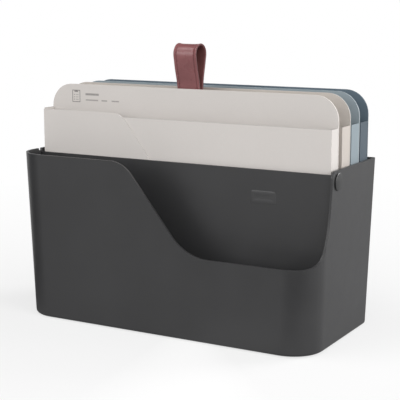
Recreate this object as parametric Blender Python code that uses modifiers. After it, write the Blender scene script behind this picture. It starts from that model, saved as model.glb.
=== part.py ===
"""Desk caddy with a scooped front pocket and four document folders that lift out.

Metres, +Z up. The origin is the middle of the footprint at table level. The
scooped front faces -Y, and the scoop opens towards +X.
"""

import math

import bmesh
import bpy
from mathutils import Matrix, Vector

MM = 0.001

# Gap that touching pieces keep, and how far cutters run past what they cut
SEAT_GAP = 0.3 * MM
OVERRUN = 5 * MM

# Tub: outside size at the rim, lean of each wall over the height, inside radii
TUB_WIDTH = 325.4 * MM
TUB_DEPTH = 145.5 * MM
TUB_HEIGHT = 165.3 * MM
TUB_DRAFT = 4.47 * MM
WALL = 2.2 * MM
FRONT_INSIDE_R = 28.8 * MM
BACK_INSIDE_R = 0.6 * MM
BASE_INSIDE_R = 0.8 * MM

# Scoop in the front wall: an S-curve on the left, a quarter oval on the right
SCOOP_DROP = 85 * MM
SCOOP_SLOPE = math.radians(52)
SCOOP_LINE_X = -33.8 * MM
SCOOP_TOP_R = 31 * MM
SCOOP_BOTTOM_R = 49 * MM
SCOOP_LIP_R = 7 * MM
SCOOP_LEAD = 0.1 * MM
SCOOP_SIDE_SETBACK = 40.2 * MM
SCOOP_SQUARENESS = 3

# Small notch in the left rim, level with the scoop's edge in the right wall
NOTCH_TOP_WIDTH = 4.9 * MM
NOTCH_FLOOR_WIDTH = 3.9 * MM
NOTCH_DEPTH = 2.4 * MM
NOTCH_SETBACK = 40.9 * MM

# Divider behind the scoop, and its ears for the studs
DIVIDER_SETBACK = 41.85 * MM
DIVIDER_THICKNESS = 2.2 * MM
DIVIDER_DROP = 3.5 * MM
EAR_THICKNESS = 1.3 * MM
EAR_HEIGHT = 18 * MM
EAR_REAR_MARGIN = 9.5 * MM

# Studs that hold the divider's ears to the side walls
STUD_R = 8.2 * MM
STUD_PROUD = 1.9 * MM
STUD_EDGE_R = 0.9 * MM
STUD_SHANK_R = 3.5 * MM
STUD_SETBACK = 52.2 * MM
STUD_DROP = 10.4 * MM

# Bare badge plate let into the divider
BADGE_WIDTH = 24.7 * MM
BADGE_HEIGHT = 11.4 * MM
BADGE_THICKNESS = 1 * MM
BADGE_RECESS = 0.6 * MM
BADGE_BORDER = 3.6 * MM
BADGE_SINK = 0.3 * MM
BADGE_X = 93.3 * MM
BADGE_DROP = 29.3 * MM

# Feet under the tub
FOOT_R = 7 * MM
FOOT_PROUD = 0.8 * MM
FOOT_RECESS = 1 * MM
FOOT_INSET = 20 * MM

# Folders: stiff board at the back, card pocket in front of it
FOLDER_COUNT = 4
FOLDER_HEIGHT = 228 * MM
POCKET_HEIGHT = 199 * MM
BOARD_THICKNESS = 1.5 * MM
BOARD_CORNER_R = 23 * MM
CARD_THICKNESS = 0.8 * MM
GLUE_FLAP = 12 * MM
FLAP_DROP = 4 * MM
BOTTOM_CLIP = 3 * MM
RIM_CLEARANCE = 2.5 * MM
FLOOR_CLEARANCE = 0.9 * MM

# Room kept along the tub: in front of folder 1, for the strap, between, behind
FRONT_PLAY = 0.8 * MM
STRAP_ROOM = 7.8 * MM
FOLDER_PLAY = 2.3 * MM
BACK_PLAY = 3.8 * MM
FIRST_FOLDER_THINNER = 2.2 * MM

# Second front sheet of folder 1, scooped along the same line as the tub
SHEET_RISE = 3.8 * MM
SHEET_TOP_R = 16.8 * MM

# How far folder 1's left gusset stands above its pocket's other edges
GUSSET_RISE = 5 * MM

# Leather strap: one strip, folded into a loop, both ends on board 1. The clamp
# is where its two legs part, below the top of the board
STRAP_WIDTH = 25 * MM
STRAP_THICKNESS = 1.8 * MM
STRAP_TAIL = 31 * MM
STRAP_CLAMP_DROP = 27.2 * MM
LOOP_HEIGHT = 69.1 * MM
LOOP_DEPTH = 18.6 * MM

# Two-part rivets through the strap's ends and the board
RIVET_HEAD_R = 4.5 * MM
RIVET_HEAD_THICKNESS = 0.9 * MM
RIVET_CAP_THICKNESS = 1.4 * MM
RIVET_EDGE_R = 0.5 * MM
RIVET_SHANK_R = 1.7 * MM
RIVET_SOCKET_DEPTH = 0.7 * MM
RIVET_PITCH = 13 * MM
RIVET_END_MARGIN = 8 * MM

# Facets of round pieces
CORNER_SEGMENTS = 12
BACK_CORNER_SEGMENTS = 4
BASE_SEGMENTS = 4
ARC_STEPS = 10
OVAL_STEPS = 20
LOOP_STEPS = 3
STUD_STEPS = 40
RIVET_STEPS = 24
FOOT_STEPS = 32

# The loop seen from the side, from its front end round to its back end: share
# of its height above the clamp, and share of its depth behind the front leg
LOOP_SHARES = (
    (0.00, 0.000), (0.10, 0.040), (0.22, 0.125), (0.32, 0.160), (0.41, 0.142),
    (0.50, 0.075), (0.59, -0.019), (0.68, -0.110), (0.77, -0.182), (0.865, -0.228),
    (0.933, -0.161), (0.982, 0.022), (1.00, 0.271), (0.982, 0.521), (0.933, 0.704),
    (0.865, 0.771), (0.785, 0.735), (0.70, 0.670), (0.62, 0.600), (0.54, 0.540),
    (0.47, 0.505), (0.40, 0.470), (0.33, 0.400), (0.26, 0.300), (0.18, 0.230),
    (0.09, 0.160), (0.00, 0.113),
)

# Levels and places that follow from the sizes above
TUB_BASE_Z = FOOT_PROUD
RIM_Z = TUB_BASE_Z + TUB_HEIGHT
FLOOR_Z = TUB_BASE_Z + WALL
FRONT_Y = -TUB_DEPTH / 2
DIVIDER_FRONT_Y = FRONT_Y + DIVIDER_SETBACK
DIVIDER_BACK_Y = DIVIDER_FRONT_Y + DIVIDER_THICKNESS
DIVIDER_TOP_Z = RIM_Z - DIVIDER_DROP
STUD_Y = FRONT_Y + STUD_SETBACK
STUD_Z = RIM_Z - STUD_DROP
DRAFT_ANGLE = math.atan(TUB_DRAFT / TUB_HEIGHT)
FOLDER_Z = FLOOR_Z + SEAT_GAP
POCKET_TOP_Z = FOLDER_Z + POCKET_HEIGHT
BOARD_TOP_Z = FOLDER_Z + FOLDER_HEIGHT
STRAP_CLAMP_Z = BOARD_TOP_Z - STRAP_CLAMP_DROP

# How a flat outline stands in the object: seen from the front or from the side
FACING_FRONT = Matrix.Rotation(math.radians(90), 4, 'X')
FACING_SIDE = Matrix.Rotation(math.radians(90), 4, 'Z') @ FACING_FRONT


def linear(red, green, blue):
    """Base colour from display values of 0 to 255."""
    shares = [value / 255 for value in (red, green, blue)]
    return [*(share ** 2.2 for share in shares), 1]


FINISHES = {
    'charcoal_plastic': (linear(62, 62, 63), 0.45, 0),
    'stud_plastic': (linear(78, 78, 79), 0.35, 0),
    'badge_plastic': (linear(74, 74, 75), 0.4, 0),
    'foot_rubber': (linear(28, 28, 28), 0.8, 0),
    'card_white': (linear(214, 206, 202), 0.7, 0),
    'card_beige': (linear(200, 189, 180), 0.7, 0),
    'card_light_blue': (linear(150, 167, 176), 0.7, 0),
    'card_dark_blue': (linear(88, 108, 122), 0.7, 0),
    'burgundy_leather': (linear(124, 78, 78), 0.5, 0),
    'rivet_metal': (linear(120, 104, 84), 0.35, 1),
}
FOLDER_FINISHES = ('card_white', 'card_beige', 'card_light_blue', 'card_dark_blue')


def clear_scene():
    for item in list(bpy.data.objects):
        bpy.data.objects.remove(item, do_unlink=True)


def new_collection(name):
    collection = bpy.data.collections.new(name)
    bpy.context.scene.collection.children.link(collection)
    return collection


def make_material(name):
    colour, roughness, metallic = FINISHES[name]
    material = bpy.data.materials.get(name) or bpy.data.materials.new(name)
    material.use_nodes = True
    shader = material.node_tree.nodes['Principled BSDF']
    shader.inputs['Base Color'].default_value = colour
    shader.inputs['Roughness'].default_value = roughness
    shader.inputs['Metallic'].default_value = metallic
    return material


def finish_mesh(name, bm, matrix=None):
    """A cutter object from a bmesh; dress() turns it into a piece."""
    mesh = bpy.data.meshes.new(name)
    bm.to_mesh(mesh)
    bm.free()
    item = bpy.data.objects.new(name, mesh)
    item.matrix_world = matrix or Matrix.Identity(4)
    CUTTERS.objects.link(item)
    item.hide_render = True
    item.display_type = 'WIRE'
    return item


def dress(item, finish, smooth_angle=None):
    """Make an object a piece of the caddy with its own material."""
    CUTTERS.objects.unlink(item)
    PIECES.objects.link(item)
    item.hide_render = False
    item.display_type = 'TEXTURED'
    item.data.materials.append(make_material(finish))
    if smooth_angle:
        item.data.shade_smooth()
        item.data.set_sharp_from_angle(angle=smooth_angle)
    return item


def block(name, low, high):
    """Box between two corners."""
    low, high = Vector(low), Vector(high)
    place = Matrix.Translation((low + high) / 2) @ Matrix.Diagonal((*(high - low), 1))
    bm = bmesh.new()
    bmesh.ops.create_cube(bm, size=1, matrix=place)
    return finish_mesh(name, bm)


def rod(name, radius, low, high, matrix, steps):
    """Cylinder along its own Z from low to high."""
    bm = bmesh.new()
    bmesh.ops.create_cone(
        bm, cap_ends=True, segments=steps, radius1=radius, radius2=radius,
        depth=high - low, matrix=Matrix.Translation((0, 0, (low + high) / 2)))
    return finish_mesh(name, bm, matrix)


def prism(name, outline, low, high, facing):
    """Flat outline as a solid between two places along Y, or along X."""
    curve = bpy.data.curves.new(name, 'CURVE')
    curve.dimensions = '2D'
    curve.fill_mode = 'BOTH'
    curve.extrude = (high - low) / 2
    spline = curve.splines.new('POLY')
    spline.points.add(len(outline) - 1)
    for point, (across, up) in zip(spline.points, outline):
        point.co = (across, up, 0, 1)
    spline.use_cyclic_u = True
    flat = bpy.data.objects.new(name + '_outline', curve)
    along = Vector((0, 1, 0)) if facing is FACING_FRONT else Vector((1, 0, 0))
    flat.matrix_world = Matrix.Translation(along * (low + high) / 2) @ facing
    CUTTERS.objects.link(flat)
    bpy.context.view_layer.update()
    graph = bpy.context.evaluated_depsgraph_get()
    mesh = bpy.data.meshes.new_from_object(flat.evaluated_get(graph))
    bm = bmesh.new()
    bm.from_mesh(mesh)
    bmesh.ops.remove_doubles(bm, verts=bm.verts, dist=SEAT_GAP / 100)
    place = flat.matrix_world.copy()
    bpy.data.objects.remove(flat)
    bpy.data.curves.remove(curve)
    bpy.data.meshes.remove(mesh)
    return finish_mesh(name, bm, place)


def turned(name, profile, steps, matrix):
    """Profile of (radius, height) turned about its own Z, outer side top to bottom."""
    bm = bmesh.new()
    verts = [bm.verts.new((radius, 0, height)) for radius, height in profile]
    for start, end in zip(verts, verts[1:]):
        bm.edges.new((start, end))
    item = finish_mesh(name, bm, matrix)
    screw = item.modifiers.new('Turn', 'SCREW')
    screw.axis = 'Z'
    screw.angle = math.tau
    screw.steps = steps
    screw.render_steps = steps
    screw.use_merge_vertices = True
    screw.merge_threshold = SEAT_GAP / 100
    return item


def combine(item, other, operation='DIFFERENCE'):
    boolean = item.modifiers.new(other.name, 'BOOLEAN')
    boolean.operation = operation
    boolean.solver = 'EXACT'
    boolean.object = other


def arc(centre_x, centre_y, radius, start, end, steps=ARC_STEPS):
    """Points of an arc between two angles in degrees."""
    points = []
    for step in range(steps + 1):
        angle = math.radians(start + (end - start) * step / steps)
        points.append((centre_x + radius * math.cos(angle),
                       centre_y + radius * math.sin(angle)))
    return points


def lean(z):
    """How far a tub wall stands inside the rim's outline at a height."""
    return TUB_DRAFT * (RIM_Z - z) / TUB_HEIGHT


def outside_half_width(z):
    return TUB_WIDTH / 2 - lean(z)


def outside_half_depth(z):
    return TUB_DEPTH / 2 - lean(z)


def inside_half_width(y, z):
    """Half the room between the side walls, less where the corners round."""
    half_width = outside_half_width(z) - WALL
    radius = FRONT_INSIDE_R if y < 0 else BACK_INSIDE_R
    reach = abs(y) - (outside_half_depth(z) - WALL - radius)
    if reach <= 0:
        return half_width
    return half_width - radius + math.sqrt(max(radius ** 2 - reach ** 2, 0))


def scoop_slope(top_z, bottom_z, top_r, bottom_r):
    """The S-curve, from its top left end to where it meets the scoop's floor."""
    turn = math.degrees(SCOOP_SLOPE)
    run = math.tan(SCOOP_SLOPE)
    top_corner_x = SCOOP_LINE_X - (top_z - RIM_Z) / run
    bottom_corner_x = SCOOP_LINE_X + (RIM_Z - bottom_z) / run
    half_turn = math.tan(SCOOP_SLOPE / 2)
    top_x = top_corner_x - top_r * half_turn
    bottom_x = bottom_corner_x + bottom_r * half_turn
    upper = arc(top_x, top_z - top_r, top_r, 90, 90 - turn)
    lower = arc(bottom_x, bottom_z + bottom_r, bottom_r, 270 - turn, 270)
    return upper + lower


def scoop_cutter():
    """The front outline of the scoop, kept where the side outline also cuts."""
    above = RIM_Z + OVERRUN
    beyond = TUB_WIDTH / 2 + OVERRUN
    floor_z = RIM_Z - SCOOP_DROP
    curve = scoop_slope(RIM_Z + SCOOP_LEAD, floor_z, SCOOP_TOP_R, SCOOP_BOTTOM_R)
    edge_y = FRONT_Y + SCOOP_SIDE_SETBACK
    front = [(curve[0][0], above), *curve, (beyond, floor_z), (beyond, above)]
    cutter = prism('scoop_front', front, FRONT_Y - OVERRUN,
                   edge_y + SCOOP_LIP_R + OVERRUN, FACING_FRONT)

    start_y = -outside_half_depth(floor_z)
    length = edge_y - start_y
    height = SCOOP_DROP + SCOOP_LEAD
    power = 2 / SCOOP_SQUARENESS
    lip_z = RIM_Z + SCOOP_LEAD - SCOOP_LIP_R
    side = [(FRONT_Y - 2 * OVERRUN, floor_z - SCOOP_LEAD)]
    for step in range(OVAL_STEPS):
        angle = math.radians(90 * step / OVAL_STEPS)
        y = start_y + length * math.sin(angle) ** power
        z = RIM_Z - height * math.cos(angle) ** power
        if z < lip_z:
            side.append((y, z))
    side += arc(edge_y + SCOOP_LIP_R, lip_z, SCOOP_LIP_R, 180, 90)
    side += [(edge_y + SCOOP_LIP_R, above + OVERRUN),
             (FRONT_Y - 2 * OVERRUN, above + OVERRUN)]
    right = prism('scoop_side', side, -beyond, beyond + OVERRUN, FACING_SIDE)
    combine(cutter, right, 'INTERSECT')
    return cutter


def tub_blank():
    """Outer skin of the tub, open and overlong: a tapered box with rounded edges."""
    bm = bmesh.new()
    bmesh.ops.create_cube(bm, size=1)
    for vert in bm.verts:
        z = RIM_Z + OVERRUN if vert.co.z > 0 else TUB_BASE_Z
        vert.co = (math.copysign(outside_half_width(z), vert.co.x),
                   math.copysign(outside_half_depth(z), vert.co.y), z)
    for side, radius, segments in (
            (-1, FRONT_INSIDE_R + WALL, CORNER_SEGMENTS),
            (1, BACK_INSIDE_R + WALL, BACK_CORNER_SEGMENTS)):
        upright = [edge for edge in bm.edges
                   if edge.verts[0].co.z != edge.verts[1].co.z
                   and all(vert.co.y * side > TUB_DEPTH / 4 for vert in edge.verts)]
        bmesh.ops.bevel(bm, geom=upright, offset=radius, segments=segments,
                        profile=0.5, affect='EDGES')
    base = min(bm.faces, key=lambda face: face.calc_center_median().z)
    bmesh.ops.bevel(bm, geom=list(base.edges), offset=BASE_INSIDE_R + WALL,
                    segments=BASE_SEGMENTS, profile=0.5, affect='EDGES')
    top = max(bm.faces, key=lambda face: face.calc_center_median().z)
    bmesh.ops.delete(bm, geom=[top], context='FACES_ONLY')
    return finish_mesh('tub', bm)


def stud_place(side):
    """Where a stud meets its wall, its axis square to the drafted wall."""
    turn = Matrix.Rotation(side * (math.radians(90) + DRAFT_ANGLE), 4, 'Y')
    spot = (side * outside_half_width(STUD_Z), STUD_Y, STUD_Z)
    return Matrix.Translation(spot) @ turn


def stud_hole(name, side):
    through = WALL + EAR_THICKNESS + OVERRUN
    return rod(name, STUD_SHANK_R + SEAT_GAP, -through, OVERRUN, stud_place(side), STUD_STEPS)


def foot_spots():
    inset_x = outside_half_width(TUB_BASE_Z) - FOOT_INSET
    inset_y = outside_half_depth(TUB_BASE_Z) - FOOT_INSET
    return {
        'foot_front_right': (inset_x, -inset_y), 'foot_front_left': (-inset_x, -inset_y),
        'foot_back_right': (inset_x, inset_y), 'foot_back_left': (-inset_x, inset_y),
    }


def build_tub():
    tub = tub_blank()
    shell = tub.modifiers.new('Wall', 'SOLIDIFY')
    shell.thickness = WALL
    shell.offset = -1
    shell.use_even_offset = True
    combine(tub, block('rim_trim', (-TUB_WIDTH, -TUB_DEPTH, RIM_Z),
                       (TUB_WIDTH, TUB_DEPTH, RIM_Z + 2 * OVERRUN)))
    combine(tub, scoop_cutter())
    for side, word in ((1, 'right'), (-1, 'left')):
        combine(tub, stud_hole('tub_hole_' + word, side))
    for name, (x, y) in foot_spots().items():
        recess = rod(name + '_recess', FOOT_R + SEAT_GAP, -OVERRUN,
                     TUB_BASE_Z + FOOT_RECESS, Matrix.Translation((x, y, 0)), FOOT_STEPS)
        combine(tub, recess)
    combine(tub, rim_notch())
    return dress(tub, 'charcoal_plastic', math.radians(30))


def rim_notch():
    """Cutter through the left wall's rim, a little wider at the top."""
    middle_y = FRONT_Y + NOTCH_SETBACK
    beyond = TUB_WIDTH / 2 + OVERRUN
    inner = inside_half_width(middle_y, RIM_Z) - OVERRUN
    back = [(middle_y + NOTCH_FLOOR_WIDTH / 2, RIM_Z - NOTCH_DEPTH),
            (middle_y + NOTCH_TOP_WIDTH / 2, RIM_Z),
            (middle_y + NOTCH_TOP_WIDTH / 2, RIM_Z + OVERRUN)]
    front = [(2 * middle_y - y, z) for y, z in reversed(back)]
    return prism('rim_notch', back + front, -beyond, -inner, FACING_SIDE)


def divider_side(z):
    """Half the divider's width at a height, a seat gap inside the walls."""
    return inside_half_width(DIVIDER_FRONT_Y, z) - SEAT_GAP


def behind_divider(ear_back_y):
    """Everything behind the divider's plate but its two ears along the walls."""
    low_z = DIVIDER_TOP_Z - EAR_HEIGHT
    above = DIVIDER_TOP_Z + OVERRUN
    right = [(TUB_WIDTH / 2, TUB_BASE_Z), (TUB_WIDTH / 2, low_z),
             (divider_side(low_z) - EAR_THICKNESS, low_z),
             (divider_side(above) - EAR_THICKNESS, above)]
    outline = right + [(-x, z) for x, z in reversed(right)]
    return prism('behind_divider', outline, DIVIDER_BACK_Y, ear_back_y + OVERRUN, FACING_FRONT)


def build_divider():
    low_z = FLOOR_Z + SEAT_GAP
    clip_z = low_z + BOTTOM_CLIP
    right = [(divider_side(low_z) - BOTTOM_CLIP, low_z), (divider_side(clip_z), clip_z),
             (divider_side(DIVIDER_TOP_Z), DIVIDER_TOP_Z)]
    outline = right + [(-x, z) for x, z in reversed(right)]
    ear_back_y = STUD_Y + EAR_REAR_MARGIN
    divider = prism('divider', outline, DIVIDER_FRONT_Y, ear_back_y, FACING_FRONT)
    combine(divider, behind_divider(ear_back_y))
    for side, word in ((1, 'right'), (-1, 'left')):
        combine(divider, stud_hole('ear_hole_' + word, side))
    half = (BADGE_WIDTH / 2 + SEAT_GAP, BADGE_HEIGHT / 2 + SEAT_GAP)
    badge_z = RIM_Z - BADGE_DROP
    recess = block('badge_recess',
                   (BADGE_X - half[0], DIVIDER_FRONT_Y - OVERRUN, badge_z - half[1]),
                   (BADGE_X + half[0], DIVIDER_FRONT_Y + BADGE_RECESS, badge_z + half[1]))
    combine(divider, recess)
    return dress(divider, 'charcoal_plastic')


def build_badge():
    back_y = DIVIDER_FRONT_Y + BADGE_RECESS - SEAT_GAP
    front_y = back_y - BADGE_THICKNESS
    badge_z = RIM_Z - BADGE_DROP
    plate = block('badge_plate',
                  (BADGE_X - BADGE_WIDTH / 2, front_y, badge_z - BADGE_HEIGHT / 2),
                  (BADGE_X + BADGE_WIDTH / 2, back_y, badge_z + BADGE_HEIGHT / 2))
    half = (BADGE_WIDTH / 2 - BADGE_BORDER, BADGE_HEIGHT / 2 - BADGE_BORDER)
    field = block('badge_field',
                  (BADGE_X - half[0], front_y - OVERRUN, badge_z - half[1]),
                  (BADGE_X + half[0], front_y + BADGE_SINK, badge_z + half[1]))
    combine(plate, field)
    return dress(plate, 'badge_plastic')


def build_stud(name, side):
    tail = -(WALL + SEAT_GAP + EAR_THICKNESS)
    crown = arc(STUD_R - STUD_EDGE_R, STUD_PROUD - STUD_EDGE_R, STUD_EDGE_R, 90, 0, BASE_SEGMENTS)
    profile = [(0, STUD_PROUD), *crown, (STUD_R, SEAT_GAP), (STUD_SHANK_R, SEAT_GAP),
               (STUD_SHANK_R, tail), (0, tail)]
    stud = turned(name, profile, STUD_STEPS, stud_place(side))
    return dress(stud, 'stud_plastic', math.radians(40))


def build_foot(name, spot):
    top = TUB_BASE_Z + FOOT_RECESS - SEAT_GAP
    foot = rod(name, FOOT_R, 0, top, Matrix.Translation((*spot, 0)), FOOT_STEPS)
    return dress(foot, 'foot_rubber', math.radians(40))


def folder_fronts():
    """Front and back of each folder along Y, shared out of the room in the tub."""
    back_wall_y = outside_half_depth(FLOOR_Z) - WALL
    plays = FRONT_PLAY + STRAP_ROOM + (FOLDER_COUNT - 2) * FOLDER_PLAY + BACK_PLAY
    room = back_wall_y - DIVIDER_BACK_Y - plays
    depth = (room + FIRST_FOLDER_THINNER) / FOLDER_COUNT
    spans = []
    front_y = DIVIDER_BACK_Y + FRONT_PLAY
    for index in range(FOLDER_COUNT):
        thickness = depth - FIRST_FOLDER_THINNER if index == 0 else depth
        spans.append((front_y, front_y + thickness))
        front_y += thickness + (STRAP_ROOM if index == 0 else FOLDER_PLAY)
    return spans


def folder_half_width(z):
    """Straight above the rim, and narrowing with the tub below it."""
    span = folder_fronts()
    ends = (span[0][0], span[-1][1])
    at_rim = min(inside_half_width(y, RIM_Z) for y in ends) - RIM_CLEARANCE
    at_floor = min(inside_half_width(y, FLOOR_Z) for y in ends) - FLOOR_CLEARANCE
    share = min((z - FOLDER_Z) / (RIM_Z - FOLDER_Z), 1)
    return at_floor + (at_rim - at_floor) * share


def folder_sides(inset, top_z):
    """Outline of a folder from its top right corner down and round to its top left."""
    low_z = FOLDER_Z + inset
    clip_z = low_z + BOTTOM_CLIP
    levels = [z for z in (top_z, RIM_Z, clip_z) if z <= top_z]
    right = [(folder_half_width(z) - inset, z) for z in levels]
    right.append((folder_half_width(low_z) - inset - BOTTOM_CLIP, low_z))
    return right + [(-x, z) for x, z in reversed(right)]


def board_outline():
    top = folder_half_width(BOARD_TOP_Z) - BOARD_CORNER_R
    corner_z = BOARD_TOP_Z - BOARD_CORNER_R
    crown = arc(-top, corner_z, BOARD_CORNER_R, 180, 90)
    crown += arc(top, corner_z, BOARD_CORNER_R, 90, 0)
    return folder_sides(0, corner_z)[1:-1] + crown


def flap_window(above):
    """What the glue flaps leave open at the pocket's back, their tops slanted."""
    inner = folder_sides(CARD_THICKNESS + GLUE_FLAP, POCKET_TOP_Z - FLAP_DROP - GLUE_FLAP)
    flare_x = folder_half_width(POCKET_TOP_Z) - CARD_THICKNESS
    flare = [(flare_x, above), (flare_x, POCKET_TOP_Z - FLAP_DROP)]
    return flare + inner + [(-x, z) for x, z in reversed(flare)]


def pocket_outline(left_rise):
    """Outline of a pocket, its left gusset higher than the rest by left_rise."""
    sides = folder_sides(0, POCKET_TOP_Z)
    if left_rise:
        outer_x = sides.pop()[0]
        inner_x = outer_x + CARD_THICKNESS
        high_z = POCKET_TOP_Z + left_rise
        sides += [(outer_x, high_z), (inner_x, high_z), (inner_x, POCKET_TOP_Z)]
    return sides


def build_pocket(name, front_y, back_y, finish, left_rise=0):
    """Card pocket: front, two gussets, bottom, and flaps glued to the board."""
    pocket = prism(name, pocket_outline(left_rise), front_y, back_y, FACING_FRONT)
    above = POCKET_TOP_Z + left_rise + OVERRUN
    hollow = prism(name + '_hollow', folder_sides(CARD_THICKNESS, above),
                   front_y + CARD_THICKNESS, back_y - CARD_THICKNESS, FACING_FRONT)
    window = prism(name + '_window', flap_window(above),
                   (front_y + back_y) / 2, back_y + OVERRUN, FACING_FRONT)
    combine(pocket, hollow)
    combine(pocket, window)
    return dress(pocket, finish)


def build_board(name, back_y, finish):
    board = prism(name, board_outline(), back_y - BOARD_THICKNESS, back_y, FACING_FRONT)
    return dress(board, finish)


def build_front_sheet(front_y):
    """Sheet glued to the front of folder 1, with its own scoop."""
    top_z = POCKET_TOP_Z + SHEET_RISE
    floor_z = top_z - SCOOP_DROP
    curve = scoop_slope(top_z, floor_z, SHEET_TOP_R, SCOOP_BOTTOM_R)
    low_side = folder_sides(0, floor_z)
    high_side = folder_sides(0, top_z)
    sides = low_side[:len(low_side) // 2] + high_side[len(high_side) // 2:]
    sheet = prism('folder_1_front_sheet', sides + curve,
                  front_y, front_y + CARD_THICKNESS, FACING_FRONT)
    return dress(sheet, FOLDER_FINISHES[0])


def smooth_route(points, steps):
    """Catmull-Rom curve through the points, steps spans between each pair."""
    route = []
    for index in range(len(points) - 1):
        before = points[max(index - 1, 0)]
        start, end = points[index], points[index + 1]
        after = points[min(index + 2, len(points) - 1)]
        for step in range(steps):
            t = step / steps
            route.append(start + (end - before) * t / 2
                         + (before * 2 - start * 5 + end * 4 - after) * t ** 2 / 2
                         + (start * 3 - before - end * 3 + after) * t ** 3 / 2)
    return route + [points[-1]]


def strap_route(board_back_y):
    """Middle line of the strap in (Y, Z), from the front end to the back end."""
    leg_y = board_back_y + SEAT_GAP + STRAP_THICKNESS / 2
    tail_z = STRAP_CLAMP_Z - STRAP_TAIL
    loop = [Vector((leg_y + behind * LOOP_DEPTH, STRAP_CLAMP_Z + up * LOOP_HEIGHT))
            for up, behind in LOOP_SHARES]
    return [Vector((loop[0].x, tail_z)), *smooth_route(loop, LOOP_STEPS),
            Vector((loop[-1].x, tail_z))]


def strip_outline(route, thickness):
    """Closed outline of a strip of even thickness along a route."""
    left, right = [], []
    for index, point in enumerate(route):
        ahead = route[min(index + 1, len(route) - 1)]
        behind = route[max(index - 1, 0)]
        along = (ahead - behind).normalized()
        across = Vector((-along.y, along.x)) * thickness / 2
        left.append(tuple(point + across))
        right.append(tuple(point - across))
    return left + right[::-1]


def rivet_spots():
    first = STRAP_CLAMP_Z - STRAP_TAIL + RIVET_END_MARGIN
    return {'lower': first, 'upper': first + RIVET_PITCH}


def rivet_place(y, z, facing_back):
    """Rivet axis along Y, its head's crown towards the back or the front."""
    turn = Matrix.Rotation(math.radians(-90 if facing_back else 90), 4, 'X')
    return Matrix.Translation((0, y, z)) @ turn


def rivet_hole(name, y, z):
    reach = STRAP_ROOM
    return rod(name, RIVET_SHANK_R + SEAT_GAP, -reach, reach, rivet_place(y, z, True),
               RIVET_STEPS)


def build_strap(board_back_y):
    outline = strip_outline(strap_route(board_back_y), STRAP_THICKNESS)
    strap = prism('strap_loop', outline, -STRAP_WIDTH / 2, STRAP_WIDTH / 2, FACING_SIDE)
    for word, z in rivet_spots().items():
        combine(strap, rivet_hole('strap_hole_' + word, board_back_y, z))
    return dress(strap, 'burgundy_leather', math.radians(40))


def build_rivet(word, z, board_back_y):
    """Post from the pocket side, through board and strap, into its cap."""
    stack = 2 * (STRAP_THICKNESS + SEAT_GAP)
    head_y = board_back_y - BOARD_THICKNESS
    length = BOARD_THICKNESS + stack + SEAT_GAP + RIVET_SOCKET_DEPTH - SEAT_GAP
    head_top = SEAT_GAP + RIVET_HEAD_THICKNESS
    crown = arc(RIVET_HEAD_R - RIVET_EDGE_R, head_top - RIVET_EDGE_R, RIVET_EDGE_R,
                90, 0, BASE_SEGMENTS)
    post = turned('strap_post_' + word,
                  [(0, head_top), *crown, (RIVET_HEAD_R, SEAT_GAP),
                   (RIVET_SHANK_R, SEAT_GAP), (RIVET_SHANK_R, -length), (0, -length)],
                  RIVET_STEPS, rivet_place(head_y, z, False))
    socket_r = RIVET_SHANK_R + SEAT_GAP
    crown = arc(RIVET_HEAD_R - RIVET_EDGE_R, RIVET_CAP_THICKNESS - RIVET_EDGE_R, RIVET_EDGE_R,
                90, 0, BASE_SEGMENTS)
    cap = turned('strap_cap_' + word,
                 [(0, RIVET_CAP_THICKNESS), *crown, (RIVET_HEAD_R, 0), (socket_r, 0),
                  (socket_r, RIVET_SOCKET_DEPTH), (0, RIVET_SOCKET_DEPTH)],
                 RIVET_STEPS, rivet_place(board_back_y + stack + SEAT_GAP, z, True))
    return [dress(item, 'rivet_metal', math.radians(40)) for item in (post, cap)]


def carry(name, y, items):
    """Hang a folder's pieces on an empty that stands for the lifted body."""
    holder = bpy.data.objects.new(name, None)
    holder.location = (0, y, FOLDER_Z)
    PIECES.objects.link(holder)
    bpy.context.view_layer.update()
    for item in items:
        item.parent = holder
        item.matrix_parent_inverse = holder.matrix_world.inverted()


def build_folder(number, front_y, back_y):
    finish = FOLDER_FINISHES[number - 1]
    name = f'folder_{number}'
    items = []
    pocket_front_y = front_y
    left_rise = 0
    if number == 1:
        items.append(build_front_sheet(front_y))
        pocket_front_y += CARD_THICKNESS + SEAT_GAP
        left_rise = GUSSET_RISE
    pocket_back_y = back_y - BOARD_THICKNESS - SEAT_GAP
    items.append(build_pocket(name + '_pocket', pocket_front_y, pocket_back_y, finish, left_rise))
    board = build_board(name + '_board', back_y, finish)
    items.append(board)
    if number == 1:
        items.append(build_strap(back_y))
        for word, z in rivet_spots().items():
            combine(board, rivet_hole('board_hole_' + word, back_y, z))
            items += build_rivet(word, z, back_y)
    carry(name, (front_y + back_y) / 2, items)


def build_caddy():
    build_tub()
    build_divider()
    build_badge()
    build_stud('stud_right', 1)
    build_stud('stud_left', -1)
    for name, spot in foot_spots().items():
        build_foot(name, spot)
    for number, (front_y, back_y) in enumerate(folder_fronts(), start=1):
        build_folder(number, front_y, back_y)


clear_scene()
PIECES = new_collection('document_caddy')
CUTTERS = new_collection('cutters')
build_caddy()
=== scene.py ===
"""Looks of the desk caddy: an open tub with a scooped front pocket, four card
folders and a leather pull loop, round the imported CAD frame.

Metres, +Z up, the CAD's own frame. Photograph angles are in degrees.
"""

import math

import bmesh
import bpy
from mathutils import Matrix, Vector


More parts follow.
